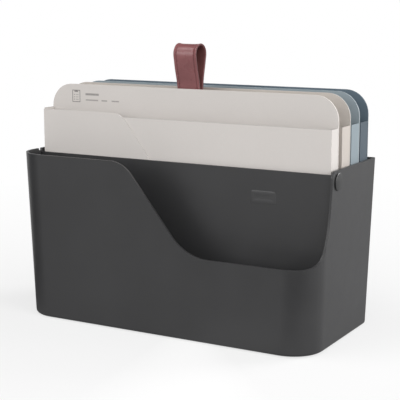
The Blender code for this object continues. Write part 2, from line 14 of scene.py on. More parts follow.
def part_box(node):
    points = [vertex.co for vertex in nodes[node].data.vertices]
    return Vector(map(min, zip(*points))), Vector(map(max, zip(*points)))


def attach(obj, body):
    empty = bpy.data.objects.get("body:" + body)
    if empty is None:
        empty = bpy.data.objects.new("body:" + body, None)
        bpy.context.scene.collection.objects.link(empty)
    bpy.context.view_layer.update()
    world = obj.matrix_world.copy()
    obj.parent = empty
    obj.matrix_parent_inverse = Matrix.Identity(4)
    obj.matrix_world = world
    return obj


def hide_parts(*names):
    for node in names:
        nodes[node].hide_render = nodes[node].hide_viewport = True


MM = 0.001

# Camera that stands where the photograph was taken from
VIEW_AZIMUTH = 29.43
VIEW_ELEVATION = 10.27
VIEW_TARGET = Vector((10.53, -2.75, 122.66)) * MM
VIEW_DISTANCE = 1102.0 * MM
VIEW_FOCAL_PIXELS = 1126.3
PICTURE_PIXELS = 400
SENSOR_WIDTH = 36

# Light of the room, for diffuse rays and for gloss. Each glow is its direction,
# strength, span of cosines and the place on the floor, in mm, it is measured from
ROOM_LIGHT = (
    ((10, 10), 0.47, (0.1, 0.95), (0, 0)),
    ((30, 45), 0.74, (0.1, 0.95), (0, 0)),
)
ROOM_SHEEN = (
    ((150, 0), 0.43, (0.42, 0.95), (50, -150)),
    ((-23, 0), 0.41, (0.86, 0.935), (100, 150)),
    ((235, 0), 0.8, (0.75, 0.97), (0, 0)),
)
FLOOR_SHOWN = (225, 225, 225)
FLOOR_BOUNCE = (165, 165, 165)
FLOOR_NEAR_SHARE = 0.68
FLOOR_CONTACT_SHARE = 0.45
FLOOR_CONTACT_REACH = 130 * MM
FLOOR_RADIUS = 6
FLOOR_SEGMENTS = 96
FLOOR_FADE = (0.2, 0.9)

# Lamps: name, azimuth, elevation and power of square softboxes all round
LAMP_DISTANCE = 3.4
LAMP_SIZE = 1.6
LAMPS = (
    ("left", -60, 50, 28),
    ("front_low", -30, 18, 23),
    ("right_low", 75, 18, 54),
    ("behind_low", 140, 18, 66),
    ("behind", 140, 50, 19),
)

# Rounding of the CAD nodes' edges, and the angles in degrees that steer it
TUB_ROUND = 0.7 * MM
TUB_ROUND_SEGMENTS = 3
CARD_ROUND = 0.2 * MM
BOARD_ROUND = 0.3 * MM
WELD_REACH = 0.002 * MM
FLAT_ANGLE = 0.3
ROUND_ANGLE = 35
SMOOTH_ANGLE = 40

# Noise keeps mostly between these levels
NOISE_SPAN = (0.3, 0.7)

# How well the rounded normal matches the plain one, from flat stretches to edges
EDGE_MATCH = (0.995, 0.86)

# Grain of the moulded plastic: its noise scale and its depth
PLASTIC_GRAIN = 2600.0
PLASTIC_GRAIN_DEPTH = 0.02 * MM

# Strap: the loop's route is in shares of its height and depth, as in the CAD solid
STRAP_WIDTH = 25 * MM
STRAP_THICKNESS = 1.8 * MM
STRAP_EDGE_R = 0.75 * MM
STRAP_TAIL = 31 * MM
STRAP_CLAMP_DROP = 27.2 * MM
STRAP_GAP = 0.3 * MM
LOOP_HEIGHT = 69.1 * MM
LOOP_DEPTH = 18.6 * MM
LOOP_SHARES = (
    (0.00, 0.000), (0.10, 0.040), (0.22, 0.125), (0.32, 0.160), (0.41, 0.142),
    (0.50, 0.075), (0.59, -0.019), (0.68, -0.110), (0.77, -0.182), (0.865, -0.228),
    (0.933, -0.161), (0.982, 0.022), (1.00, 0.271), (0.982, 0.521), (0.933, 0.704),
    (0.865, 0.771), (0.785, 0.735), (0.70, 0.670), (0.62, 0.600), (0.54, 0.540),
    (0.47, 0.505), (0.40, 0.470), (0.33, 0.400), (0.26, 0.300), (0.18, 0.230),
    (0.09, 0.160), (0.00, 0.113),
)
LOOP_STEPS = 12
STRAP_SPACING = 1.2 * MM
STRAP_CURL = 0.9 * MM
STRAP_CURL_RADIUS = 9 * MM
STRAP_CURL_POWER = 4
STRAP_CURL_MIDDLE = 0.2
STRAP_CORNER_STEPS = 4
STRAP_BACK_SHARE = 0.99
STRAP_CREASE_INSET = 3 * MM
STRAP_CREASE_DEPTH = 0.28 * MM
STRAP_CREASE_WIDTH = 0.45 * MM
STRAP_CREASE_SHARES = ((1.0, 0.0), (0.45, 0.5), (0.0, 1.0), (-0.45, 0.5), (-1.0, 0.0))
STRAP_FLAT_SHARES = (0.84, 0.68, 0.5, 0.32, 0.14)
STRAP_BEND_REACH = 3
STRAP_SHARP_ANGLE = 60

# How far the tub's side walls lean out over their height
WALL_LEAN = 4.47 * MM

# Turned pieces: studs, feet and rivets
STUD_DOME = 0.5 * MM
STUD_ROUND = 0.7 * MM
STUD_SHANK_R = 3.5 * MM
FOOT_ROUND = 0.5 * MM
FOOT_DIMPLE_R = 2.4 * MM
FOOT_DIMPLE_DEPTH = 0.5 * MM
FOOT_DIMPLE_SHARES = ((0, 1), (0.7, 0.85), (1, 0.2), (1.15, 0))
FOOT_RIM_SHARE = 1.3
RIVET_SHANK_R = 1.7 * MM
RIVET_ROUND = 0.4 * MM
RIVET_DOME = 0.35 * MM
RIVET_HEAD_THICKNESS = 0.9 * MM
SEAT_GAP = 0.3 * MM
RIVET_CAP_DOME = 0.56 * MM
TURNED_STEPS = 64
HEAD_CROWN_STEPS = 9
HEAD_CORNER_STEPS = 6
TURNED_SHARP_ANGLE = 38

# Badge plate: its steps from the edge in are (inset, height over its seat) in mm
BADGE_CORNER_R = 1.4 * MM
BADGE_LEAST_CORNER_R = 0.3 * MM
BADGE_CORNER_STEPS = 5
BADGE_SHARP_ANGLE = 50
BADGE_FLANGE = 0.45 * MM
BADGE_LIFT = 0.03 * MM
BADGE_LET_IN = 0.3
BADGE_STEPS = (
    (0.0, 0.06), (0.3, 0.13), (1.0, 0.24), (1.9, 0.3), (3.5, 0.3), (4.3, 0.18), (4.9, 0.15),
)

# Print on the front folder's board, in mm: a plain checklist sign and ruled lines.
# Each mark is its left and right end, its level, half its height and its ink share
PRINT_MARKS = (
    (-133.7, -123.9, 225.0, 0.36, 0.8), (-133.7, -123.9, 213.4, 0.36, 0.8),
    (-133.7, -132.95, 219.2, 6.1, 0.8), (-124.65, -123.9, 219.2, 6.1, 0.8),
    (-131.0, -126.6, 224.2, 1.0, 0.75),
    (-131.8, -130.4, 220.6, 0.45, 0.6), (-129.4, -126.0, 220.6, 0.35, 0.5),
    (-131.8, -130.4, 218.2, 0.45, 0.6), (-129.4, -126.0, 218.2, 0.35, 0.5),
    (-131.8, -130.4, 215.8, 0.45, 0.6), (-129.4, -126.0, 215.8, 0.35, 0.5),
    (-117.4, -101.2, 221.4, 1.05, 0.6),
    (-117.2, -102.0, 215.6, 0.7, 0.5), (-98.0, -91.2, 215.6, 0.7, 0.5),
    (-85.8, -77.0, 215.6, 0.7, 0.5),
)
PRINT_SOFT = 0.12 * MM
PRINT_INK = (70, 68, 67)

# Display colours. A folder has one for its pocket, its board and the board's cut edges; that edge
# colour is partly the card's core and partly painted light: lighter than the board is painted
# highlight, darker is painted shade
CHARCOAL = (56, 56, 57)
STUD_COLOUR = (29, 29, 30)
BADGE_COLOUR = (62, 62, 63)
RUBBER_COLOUR = (30, 30, 30)
BRASS_COLOUR = (150, 128, 98)
LEATHER_COLOUR = (134, 85, 86)
# Flesh side of the strap: a real matt nap, and darker than the hide as painted shade for the
# inside of the loop
FLESH_SIDE_AND_SHADE_COLOUR = (112, 69, 67)
CARD_COLOURS = (
    ((208, 203, 199), (206, 201, 197), (214, 208, 203)),
    ((192, 184, 177), (193, 186, 179), (180, 176, 172)),
    ((136, 148, 155), (142, 154, 161), (166, 174, 178)),
    ((75, 87, 97), (94, 109, 120), (70, 82, 91)),
)
# Pockets' and the front sheet's cut edges take a darker copy of their card colour: painted shade
# for the shadow lines along those edges
POCKET_EDGE_PAINTED_SHADE = 0.6
SHEET_EDGE_PAINTED_SHADE = 0.86

WHITE = (1, 1, 1, 1)


def linear(red, green, blue):
    """Scene colour from display values of 0 to 255."""
    def curve(value):
        share = value / 255
        return share / 12.92 if share <= 0.04045 else ((share + 0.055) / 1.055) ** 2.4
    return (curve(red), curve(green), curve(blue), 1)


def scaled(colour, factor):
    return (*(channel * factor for channel in colour[:3]), 1)


class Nodes:
    """Short ways to add and join the nodes of a tree."""

    def __init__(self, tree):
        self.tree = tree
        coordinates = self.node("ShaderNodeTexCoord").outputs
        self.place = coordinates["Object"]
        self.facing = coordinates["Normal"]
        self.direction = coordinates["Generated"]

    def node(self, kind, settings=None, **inputs):
        made = self.tree.nodes.new(kind)
        for key, value in (settings or {}).items():
            setattr(made, key, value)
        for key, value in inputs.items():
            self.feed(made.inputs[self.socket(made, key)], value)
        return made

    def socket(self, made, key):
        """Input by position for i0, i1, ... or by its name with _ for a space."""
        if key[0] == "i" and key[1:].isdigit():
            return int(key[1:])
        names = [item.name.replace(" ", "_") for item in made.inputs]
        return names.index(key)

    def feed(self, socket, value):
        if isinstance(value, bpy.types.NodeSocket):
            self.tree.links.new(value, socket)
        else:
            socket.default_value = value

    def maths(self, operation, first, second=0.0, third=0.0, clamp=False):
        settings = {"operation": operation, "use_clamp": clamp}
        return self.node("ShaderNodeMath", settings, i0=first, i1=second, i2=third).outputs[0]

    def vector(self, operation, *inputs):
        """Result of a vector operation: a number for DOT_PRODUCT and LENGTH."""
        named = {f"i{index}": value for index, value in enumerate(inputs)}
        made = self.node("ShaderNodeVectorMath", {"operation": operation}, **named)
        measures = operation in ("DOT_PRODUCT", "LENGTH")
        return made.outputs["Value" if measures else "Vector"]

    def noise(self, scale, detail=3.0, roughness=0.5, place=None):
        return self.node("ShaderNodeTexNoise", Vector=place or self.place, Scale=scale,
                         Detail=detail, Roughness=roughness).outputs["Fac"]

    def cells(self, scale, feature="F1"):
        return self.node("ShaderNodeTexVoronoi", {"feature": feature}, Vector=self.place,
                         Scale=scale).outputs["Distance"]

    def span(self, value, low, high, to_low=0.0, to_high=1.0):
        return self.node("ShaderNodeMapRange", None, Value=value, From_Min=low, From_Max=high,
                         To_Min=to_low, To_Max=to_high).outputs[0]

    def patches(self, scale, detail=3.0, to_low=0.0, to_high=1.0):
        """Noise drawn out to the full span between two levels."""
        return self.span(self.noise(scale, detail), *NOISE_SPAN, to_low, to_high)

    def smooth_span(self, value, low, high):
        settings = {"interpolation_type": "SMOOTHSTEP"}
        return self.node("ShaderNodeMapRange", settings, Value=value, From_Min=low,
                         From_Max=high).outputs[0]

    def blend(self, share, first, second):
        made = self.node("ShaderNodeMix", {"data_type": "RGBA"})
        colours = [item for item in made.inputs if item.type == "RGBA"]
        self.feed(made.inputs[0], share)
        self.feed(colours[0], first)
        self.feed(colours[1], second)
        return next(item for item in made.outputs if item.type == "RGBA")

    def stretched(self, x, y, z):
        """Object coordinates scaled along each axis."""
        return self.vector("MULTIPLY", self.place, (x, y, z))

    def axis(self, name, vector=None):
        made = self.node("ShaderNodeSeparateXYZ", None, Vector=vector or self.place)
        return made.outputs[name]


class Surface(Nodes):
    """A material whose look is built from nodes."""

    def __init__(self, name, roughness=0.5, metallic=0.0, specular=0.5):
        self.material = bpy.data.materials.new(name)
        self.material.use_nodes = True
        super().__init__(self.material.node_tree)
        self.shader = self.tree.nodes["Principled BSDF"]
        self.shader.inputs["Roughness"].default_value = roughness
        self.shader.inputs["Metallic"].default_value = metallic
        self.shader.inputs["Specular IOR Level"].default_value = specular

    def colour(self, value):
        self.feed(self.shader.inputs["Base Color"], value)

    def roughness(self, value):
        self.feed(self.shader.inputs["Roughness"], value)

    def relief(self, *layers):
        """Bump from (height, depth in metres) layers, coarse to fine."""
        normal = None
        for height, depth in layers:
            made = self.node("ShaderNodeBump", None, Height=height, Strength=1.0, Distance=depth)
            if normal:
                self.feed(made.inputs["Normal"], normal)
            normal = made.outputs["Normal"]
        self.feed(self.shader.inputs["Normal"], normal)

    def edge_share(self, radius):
        """1 where the surface turns within that radius, 0 on flat stretches."""
        rounded = self.node("ShaderNodeBevel", {"samples": 4}, Radius=radius).outputs[0]
        plain = self.node("ShaderNodeNewGeometry").outputs["Normal"]
        return self.smooth_span(self.vector("DOT_PRODUCT", rounded, plain), *EDGE_MATCH)


def plastic(name, colour, roughness, specular=0.5):
    """Moulded plastic with a fine spark-eroded grain, slightly rubbed at its edges."""
    made = Surface(name, roughness, specular=specular)
    tone = made.blend(made.patches(22.0, 4.0), scaled(colour, 0.95), scaled(colour, 1.05))
    worn = made.span(made.noise(90.0), 0.35, 0.7)
    rubbed = made.maths("MULTIPLY", made.edge_share(TUB_ROUND), worn)
    made.colour(made.blend(made.maths("MULTIPLY", rubbed, 0.5), tone, scaled(colour, 1.7)))
    gloss = made.span(made.noise(45.0, 5.0), 0.25, 0.75, roughness - 0.05, roughness + 0.05)
    made.roughness(made.maths("SUBTRACT", gloss, made.maths("MULTIPLY", rubbed, 0.1)))
    made.relief(*((made.noise(scale, 2.0), PLASTIC_GRAIN_DEPTH)
                  for scale in (PLASTIC_GRAIN / 6, PLASTIC_GRAIN)))
    return made.material


def card(name, colour, core_and_painted_edge, print_on=None):
    """Coated card with paper fibres; its cut edges get a second colour: a darker copy of the card
    on pockets and sheets, which is painted shade, and on boards an edge colour that is partly the
    card's core and partly painted highlight and shade.

    print_on is None for a pocket, whose gussets are not cut edges, and says for a
    board whether it carries the print.
    """
    made = Surface(name, 0.6, specular=0.35)
    cloud = made.patches(9.0, 5.0)
    fibres = made.noise(1.0, 4.0, 0.6, made.stretched(1400.0, 1400.0, 420.0))
    strands = made.noise(1.0, 3.0, 0.6, made.stretched(260.0, 900.0, 1500.0))
    base = made.blend(cloud, scaled(colour, 0.975), scaled(colour, 1.025))
    base = made.blend(made.span(fibres, 0.35, 0.75, 0.0, 0.35), base, scaled(colour, 0.93))
    base = made.blend(made.span(strands, 0.55, 0.8, 0.0, 0.4), base, scaled(colour, 1.06))
    if print_on is None:
        # Faces turned up or down, the cut edges, take the darker copy: painted shade
        upright = made.maths("ABSOLUTE", made.axis("Z", made.facing))
        base = made.blend(made.smooth_span(upright, 0.2, 0.4), base, core_and_painted_edge)
    else:
        # Cut edges of a board take the edge colour: partly its core, partly painted highlight and
        # painted shade
        across = made.maths("ABSOLUTE", made.axis("Y", made.facing))
        base = made.blend(made.smooth_span(across, 0.5, 0.1), base, core_and_painted_edge)
    if print_on:
        base = made.blend(checklist_print(made), base, linear(*PRINT_INK))
    made.colour(base)
    made.roughness(made.patches(30.0, 4.0, 0.54, 0.66))
    made.relief((fibres, 0.03 * MM), (strands, 0.02 * MM))
    return made.material


def checklist_print(made):
    """Share of ink of the plain marks printed on the front of board 1."""
    x, z = made.axis("X"), made.axis("Z")
    front = made.smooth_span(made.axis("Y", made.facing), -0.7, -0.9)

    def within(value, centre, half):
        away = made.maths("ABSOLUTE", made.maths("SUBTRACT", value, centre))
        return made.smooth_span(away, half + PRINT_SOFT, half - PRINT_SOFT)

    ink = 0.0
    for left, right, level, half, share in PRINT_MARKS:
        across = within(x, (left + right) / 2 * MM, (right - left) / 2 * MM)
        mark = made.maths("MULTIPLY", across, within(z, level * MM, half * MM))
        ink = made.maths("MAXIMUM", ink, made.maths("MULTIPLY", mark, share))
    worn = made.patches(900.0, 2.0, 0.8, 1.0)
    return made.maths("MULTIPLY", made.maths("MULTIPLY", ink, worn), front)


def leather(name, colour):
    """Smooth burgundy leather: fine pebbled grain, dark burnished edges and crease."""
    made = Surface(name, 0.3, specular=0.5)
    pebbles = made.cells(1500.0)
    creases = made.cells(620.0, "DISTANCE_TO_EDGE")
    base = made.blend(made.patches(70.0, 4.0), scaled(colour, 0.9), scaled(colour, 1.1))
    base = made.blend(made.span(creases, 0.0, 0.06, 0.3, 0.0), base, scaled(colour, 0.62))
    across = made.maths("ABSOLUTE", made.axis("X"))
    crease_x = STRAP_WIDTH / 2 - STRAP_CREASE_INSET
    from_crease = made.maths("ABSOLUTE", made.maths("SUBTRACT", across, crease_x))
    groove = made.smooth_span(from_crease, 0.5 * MM, 0.15 * MM)
    edge = made.smooth_span(made.maths("ABSOLUTE", made.axis("X", made.facing)), 0.6, 0.9)
    burnished = made.maths("MULTIPLY", edge, 0.75)
    dark = made.maths("MAXIMUM", made.maths("MULTIPLY", groove, 0.4), burnished)
    made.colour(made.blend(dark, base, scaled(colour, 0.3)))
    polish = made.patches(160.0, 3.0, 0.24, 0.36)
    made.roughness(made.maths("MULTIPLY_ADD", edge, 0.4, polish))
    made.relief((made.noise(120.0, 3.0), 0.05 * MM), (creases, 0.02 * MM), (pebbles, 0.015 * MM))
    return made.material


def suede(name, colour):
    """Flesh side of the leather: matt and fibrous; its darker colour is painted shade for the
    inside of the strap's loop.
    """
    made = Surface(name, 0.85, specular=0.25)
    nap = made.noise(1.0, 4.0, 0.65, made.stretched(2200.0, 1500.0, 1500.0))
    base = made.blend(made.patches(90.0, 4.0), scaled(colour, 0.85), scaled(colour, 1.12))
    made.colour(made.blend(made.span(nap, 0.35, 0.7, 0.0, 0.4), base, scaled(colour, 0.7)))
    made.roughness(made.span(nap, 0.3, 0.7, 0.78, 0.92))
    made.relief((nap, 0.06 * MM))
    return made.material


def rubber(name, colour):
    """Matt moulded rubber with faint blotches."""
    made = Surface(name, 0.8, specular=0.3)
    made.colour(made.blend(made.patches(300.0), scaled(colour, 0.85), scaled(colour, 1.2)))
    made.roughness(made.patches(500.0, 3.0, 0.72, 0.88))
    made.relief((made.noise(2200.0, 2.0), 0.03 * MM))
    return made.material


def aged_brass(name, colour):
    """Brass with a darker patina in patches."""
    made = Surface(name, 0.36, metallic=1.0)
    patina = made.span(made.noise(700.0, 5.0), 0.35, 0.65)
    made.colour(made.blend(patina, scaled(colour, 0.6), scaled(colour, 1.3)))
    made.roughness(made.patches(1500.0, 3.0, 0.28, 0.46))
    made.relief((made.noise(2400.0, 2.0), 0.01 * MM))
    return made.material


def edge_angle_group():
    """Smooth shading up to an edge angle, as a node group for a modifier."""
    tree = bpy.data.node_groups.new("smooth_by_angle", "GeometryNodeTree")
    tree.interface.new_socket("Geometry", in_out="INPUT", socket_type="NodeSocketGeometry")
    tree.interface.new_socket("Geometry", in_out="OUTPUT", socket_type="NodeSocketGeometry")
    source = tree.nodes.new("NodeGroupInput")
    target = tree.nodes.new("NodeGroupOutput")
    angle = tree.nodes.new("GeometryNodeInputMeshEdgeAngle")
    below = tree.nodes.new("FunctionNodeCompare")
    below.data_type = "FLOAT"
    below.operation = "LESS_THAN"
    below.inputs[1].default_value = math.radians(SMOOTH_ANGLE)
    faces = tree.nodes.new("GeometryNodeSetShadeSmooth")
    faces.domain = "FACE"
    edges = tree.nodes.new("GeometryNodeSetShadeSmooth")
    edges.domain = "EDGE"
    links = tree.links
    links.new(source.outputs[0], faces.inputs["Geometry"])
    links.new(faces.outputs[0], edges.inputs["Geometry"])
    links.new(angle.outputs["Unsigned Angle"], below.inputs[0])
    links.new(below.outputs[0], edges.inputs["Shade Smooth"])
    links.new(edges.outputs[0], target.inputs[0])
    return tree


def soften(item, width, segments=2):
    """Small rounded edges and even shading on a CAD node, by modifiers alone."""
    weld = item.modifiers.new("Weld", "WELD")
    weld.merge_threshold = WELD_REACH
    flatten = item.modifiers.new("Flatten", "DECIMATE")
    flatten.decimate_type = "DISSOLVE"
    flatten.angle_limit = math.radians(FLAT_ANGLE)
    bevel = item.modifiers.new("Round", "BEVEL")
    bevel.width = width
    bevel.segments = segments
    bevel.limit_method = "ANGLE"
    bevel.angle_limit = math.radians(ROUND_ANGLE)
    smooth = item.modifiers.new("Smooth", "NODES")
    smooth.node_group = SMOOTH_GROUP
    weighted = item.modifiers.new("Even", "WEIGHTED_NORMAL")
    weighted.keep_sharp = True


def finish_node(node, material, width, segments=2):
    """Material and rounded edges of a solid that is kept from the CAD."""
    for held in nodes[node].material_slots:
        held.material = material
    soften(nodes[node], width, segments)


def finished_piece(name, bm, sharp_angle, *materials):
    """Object of a bmesh, with edges beyond an angle in degrees left sharp."""
    bmesh.ops.recalc_face_normals(bm, faces=bm.faces)
    mesh = bpy.data.meshes.new(name)
    bm.to_mesh(mesh)
    bm.free()
    mesh.shade_smooth()
    mesh.set_sharp_from_angle(angle=math.radians(sharp_angle))
    for material in materials:
        mesh.materials.append(material)
    piece = bpy.data.objects.new(name, mesh)
    bpy.context.scene.collection.objects.link(piece)
    return piece


def strap_route():
    """Middle line of the strap in (Y, Z), from the front end to the back end."""
    board_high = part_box("folder_1_board")[1]
    leg_y = board_high.y + STRAP_GAP + STRAP_THICKNESS / 2
    clamp_z = board_high.z - STRAP_CLAMP_DROP
    loop = [Vector((leg_y + behind * LOOP_DEPTH, clamp_z + up * LOOP_HEIGHT))
            for up, behind in LOOP_SHARES]
    fine = [Vector((loop[0].x, clamp_z - STRAP_TAIL)), *smooth_route(loop, LOOP_STEPS),
            Vector((loop[-1].x, clamp_z - STRAP_TAIL))]
    return evenly(fine, STRAP_SPACING)


def smooth_route(points, steps):
    """Catmull-Rom curve through the points, steps spans between each pair."""
    route = []
    for index in range(len(points) - 1):
        before = points[max(index - 1, 0)]
        start, end = points[index], points[index + 1]
        after = points[min(index + 2, len(points) - 1)]
        for step in range(steps):
            t = step / steps
            route.append(start + (end - before) * t / 2
                         + (before * 2 - start * 5 + end * 4 - after) * t ** 2 / 2
                         + (start * 3 - before - end * 3 + after) * t ** 3 / 2)
    return route + [points[-1]]


def evenly(points, spacing):
    """The same route with points a fixed distance apart."""
    lengths = [0.0]
    for start, end in zip(points, points[1:]):
        lengths.append(lengths[-1] + (end - start).length)
    count = max(round(lengths[-1] / spacing), 2)
    route, index = [], 0
    for step in range(count + 1):
        want = lengths[-1] * step / count
        while index < len(points) - 2 and lengths[index + 1] < want:
            index += 1
        share = (want - lengths[index]) / max(lengths[index + 1] - lengths[index], 1e-9)
        route.append(points[index].lerp(points[index + 1], min(share, 1)))
    return route


def strap_section():
    """Points (across, outwards) round the strap: round edges and a crease by each edge."""
    half = STRAP_WIDTH / 2
    thick = STRAP_THICKNESS / 2
    corner = STRAP_EDGE_R
    flat = half - corner
    crease = half - STRAP_CREASE_INSET
    across_flat = [(crease + offset * STRAP_CREASE_WIDTH, depth * STRAP_CREASE_DEPTH)
                   for offset, depth in STRAP_CREASE_SHARES]
    across_flat += [(crease * share, 0.0) for share in STRAP_FLAT_SHARES]
    points = []
    for side_x, side_n, start in ((1, 1, 0), (-1, 1, 90), (-1, -1, 180), (1, -1, 270)):
        centre = (side_x * flat, side_n * (thick - corner))
        for step in range(STRAP_CORNER_STEPS + 1):
            angle = math.radians(start + 90 * step / STRAP_CORNER_STEPS)
            points.append((centre[0] + corner * math.cos(angle),
                           centre[1] + corner * math.sin(angle)))
        if side_x == side_n:
            run = across_flat + [(0.0, 0.0)] + [(-x, depth) for x, depth in reversed(across_flat)]
            creased = side_n > 0
            points += [(side_n * x, side_n * (thick - depth * creased)) for x, depth in run]
    return points


def build_strap(outer, inner):
    """Leather strip swept along its route, its edges curled up where it bends."""
    route = strap_route()
    section = strap_section()
    bm = bmesh.new()
    rows = []
    for index, point in enumerate(route):
        ahead = route[min(index + 1, len(route) - 1)]
        behind = route[max(index - 1, 0)]
        along = (ahead - behind).normalized()
        outward = Vector((-along.y, along.x))
        bend = 0.0
        if STRAP_BEND_REACH <= index < len(route) - STRAP_BEND_REACH:
            before = (point - route[index - STRAP_BEND_REACH]).normalized()
            after = (route[index + STRAP_BEND_REACH] - point).normalized()
            turn = before.x * after.y - before.y * after.x
            bend = math.asin(max(-1, min(1, turn))) / (STRAP_BEND_REACH * STRAP_SPACING)
        row = []
        for across, out in section:
            share = across / (STRAP_WIDTH / 2)
            lift = share ** STRAP_CURL_POWER - STRAP_CURL_MIDDLE
            curl = -bend * STRAP_CURL_RADIUS * STRAP_CURL * lift
            place = point + outward * (out + curl)
            row.append(bm.verts.new((across, place.x, place.y)))
        rows.append(row)
    count = len(section)
    back_face = -STRAP_THICKNESS / 2 * STRAP_BACK_SHARE
    for first, second in zip(rows, rows[1:]):
        for step in range(count):
            after = (step + 1) % count
            face = bm.faces.new((first[step], first[after], second[after], second[step]))
            inwards = section[step][1] < back_face and section[after][1] < back_face
            # Inward faces take the darker flesh-side material: painted shade inside the loop
            face.material_index = int(inwards)
    bm.faces.new(rows[0][::-1])
    bm.faces.new(rows[-1])
    strap = finished_piece("pull_strap", bm, STRAP_SHARP_ANGLE, outer, inner)
    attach(strap, "folder_1")
    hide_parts("strap_loop")


def rounded_head(radius, top, corner, dome, low):
    """Half outline of a domed head: middle of its crown, round the edge, to its seat."""
    outline = []
    for step in range(HEAD_CROWN_STEPS):
        share = step / HEAD_CROWN_STEPS
        outline.append(((radius - corner) * share, top - dome * share ** 2))
    centre = (radius - corner, top - dome - corner)
    for step in range(HEAD_CORNER_STEPS + 1):
        angle = math.radians(90 - 90 * step / HEAD_CORNER_STEPS)
        outline.append((centre[0] + corner * math.cos(angle),
                        centre[1] + corner * math.sin(angle)))
    return outline + [(radius, low)]


def turned(name, outline, place, material, body, node):
    """Piece of revolution from (radius, height) points, in place of a CAD node."""
    bm = bmesh.new()
    rings = []
    for radius, height in outline:
        if radius < 1e-6:
            rings.append([bm.verts.new(place @ Vector((0, 0, height)))])
            continue
        ring = []
        for step in range(TURNED_STEPS):
            angle = math.tau * step / TURNED_STEPS
            point = Vector((radius * math.cos(angle), radius * math.sin(angle), height))
            ring.append(bm.verts.new(place @ point))
        rings.append(ring)
    for first, second in zip(rings, rings[1:]):
        for step in range(TURNED_STEPS):
            after = (step + 1) % TURNED_STEPS
            corners = []
            for ring, where in ((first, step), (first, after), (second, after), (second, step)):
                corner = ring[where] if len(ring) > 1 else ring[0]
                if corner not in corners:
                    corners.append(corner)
            if len(corners) > 2:
                bm.faces.new(corners)
    piece = finished_piece(name, bm, TURNED_SHARP_ANGLE, material)
    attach(piece, body)
    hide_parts(node)
    return piece


def middle(node):
    """Middle, low corner and high corner of a CAD node's box."""
    low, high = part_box(node)
    return (low + high) / 2, low, high


def build_stud(side, word, material):
    """Domed stud on the drafted side wall, its shank through the wall and the ear."""
    node = f"stud_{word}"
    centre, low, high = middle(node)
    tub_low, tub_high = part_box("tub")
    lean = math.atan2(WALL_LEAN, tub_high.z - tub_low.z)
    wall_x = tub_high.x - (tub_high.z - centre.z) * math.tan(lean)
    reach = (high.x - wall_x) if side > 0 else (-low.x - wall_x)
    depth = (wall_x - low.x) if side > 0 else (wall_x + high.x)
    radius = (high.y - low.y) / 2
    turn = Matrix.Rotation(side * (math.radians(90) + lean), 4, "Y")
    place = Matrix.Translation((side * wall_x, centre.y, centre.z)) @ turn
    top = reach - radius * math.sin(lean)
    tail = -(depth - STUD_SHANK_R * math.sin(lean))
    outline = rounded_head(radius, top, STUD_ROUND, STUD_DOME, SEAT_GAP)
    outline += [(STUD_SHANK_R, SEAT_GAP), (STUD_SHANK_R, tail + STUD_ROUND / 2),
                (STUD_SHANK_R - STUD_ROUND / 2, tail), (0, tail)]
    piece = turned(f"{word}_wall_stud", outline, place, material, "tub", node)


def build_foot(word, material):
    """Moulded foot with a rounded rim and a shallow dimple underneath."""
    node = f"foot_{word}"
    centre, low, high = middle(node)
    radius = (high.x - low.x) / 2
    thick = high.z - low.z
    place = Matrix.Translation((centre.x, centre.y, high.z)) @ Matrix.Rotation(math.pi, 4, "X")
    rim = rounded_head(radius, thick, FOOT_ROUND, 0, 0)
    outline = [(FOOT_DIMPLE_R * wide, thick - FOOT_DIMPLE_DEPTH * deep)
               for wide, deep in FOOT_DIMPLE_SHARES]
    outline += [point for point in rim if point[0] > FOOT_DIMPLE_R * FOOT_RIM_SHARE] + [(0, 0)]
    piece = turned(f"{word}_moulded_foot", outline, place, material, "tub", node)


def build_rivet(word, material):
    """Domed rivet head in front of board 1 and the cap that closes it behind the strap."""
    post_node, cap_node = f"strap_post_{word}", f"strap_cap_{word}"
    centre, low, high = middle(post_node)
    radius = (high.x - low.x) / 2
    front = Matrix.Translation((centre.x, low.y + RIVET_HEAD_THICKNESS, centre.z))
    front = front @ Matrix.Rotation(math.radians(90), 4, "X")
    outline = rounded_head(radius, RIVET_HEAD_THICKNESS, RIVET_ROUND, RIVET_DOME, 0)
    length = high.y - low.y - RIVET_HEAD_THICKNESS
    outline += [(RIVET_SHANK_R, 0), (RIVET_SHANK_R, -length), (0, -length)]
    post = turned(f"rivet_post_{word}", outline, front, material, "folder_1", post_node)
    centre, low, high = middle(cap_node)
    back = Matrix.Translation((centre.x, low.y, centre.z))
    back = back @ Matrix.Rotation(math.radians(-90), 4, "X")
    outline = rounded_head(radius, high.y - low.y, RIVET_ROUND, RIVET_CAP_DOME, 0) + [(0, 0)]
    cap = turned(f"rivet_cap_{word}", outline, back, material, "folder_1", cap_node)


def rounded_rectangle(half_x, half_z, corner):
    """Points round a rectangle with rounded corners, from the top right one on."""
    points = []
    for side_x, side_z, start in ((1, 1, 0), (-1, 1, 90), (-1, -1, 180), (1, -1, 270)):
        for step in range(BADGE_CORNER_STEPS + 1):
            angle = math.radians(start + 90 * step / BADGE_CORNER_STEPS)
            points.append((side_x * (half_x - corner) + corner * math.cos(angle),
                           side_z * (half_z - corner) + corner * math.sin(angle)))
    return points


